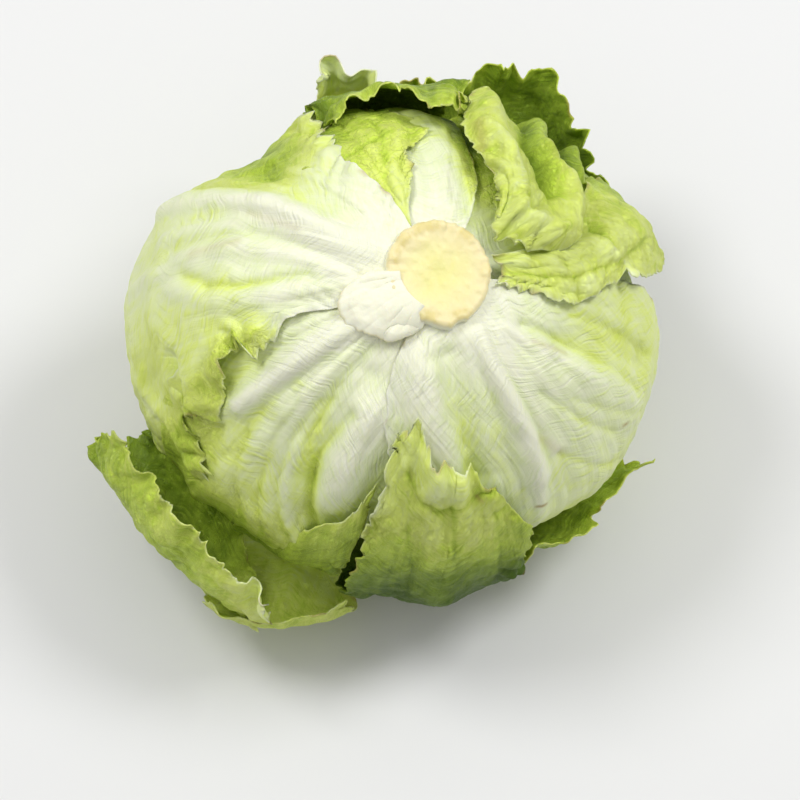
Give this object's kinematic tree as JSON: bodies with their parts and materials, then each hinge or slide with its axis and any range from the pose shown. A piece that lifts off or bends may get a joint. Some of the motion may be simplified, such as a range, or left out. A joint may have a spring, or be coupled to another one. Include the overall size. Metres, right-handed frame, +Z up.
{
  "type": "head of iceberg lettuce",
  "caption": "Crisp head of lettuce lying stem end up, with its cut stem, firm heart, wrapping leaves and loose outer leaves turned back in ruffled margins.",
  "frame": {"origin": "on the supporting surface, under the middle of the whole head", "axes": "+Z up, with the stem end on top, leaning a little towards +X and -Y; -Y is the side where the large loose leaves turn back"},
  "size_m": [0.1756, 0.1695, 0.1337],
  "materials": {
    "stem": "cut, moist, pale cream",
    "heart": "waxy, satin",
    "wrapper": "waxy, satin, cream white at the ribs",
    "lime_leaf": "waxy, satin, yellow green",
    "green_leaf": "waxy, satin, mid green"
  },
  "bodies": {
    "root": {"stem": "stem", "heart": "heart", "outer_leaf_left": "wrapper", "outer_leaf_right": "wrapper", "outer_leaf_lower_left": "wrapper", "midrib_leaf_top": "wrapper", "inner_leaf_upper_right": "wrapper", "wrapper_leaf_front": "wrapper", "wrapper_leaf_back": "wrapper", "folded_leaf_upper_left": "lime_leaf", "folded_leaf_right": "lime_leaf", "crumpled_leaf_upper_right": "lime_leaf", "rim_leaf_lower_right": "lime_leaf", "rim_leaf_lower_left": "lime_leaf", "rim_leaf_bottom": "lime_leaf", "frilled_leaf_top": "green_leaf", "flared_leaf_top": "green_leaf", "rim_leaf_right": "green_leaf", "flared_leaf_lower_left": "green_leaf"}
  },
  "joints": []
}
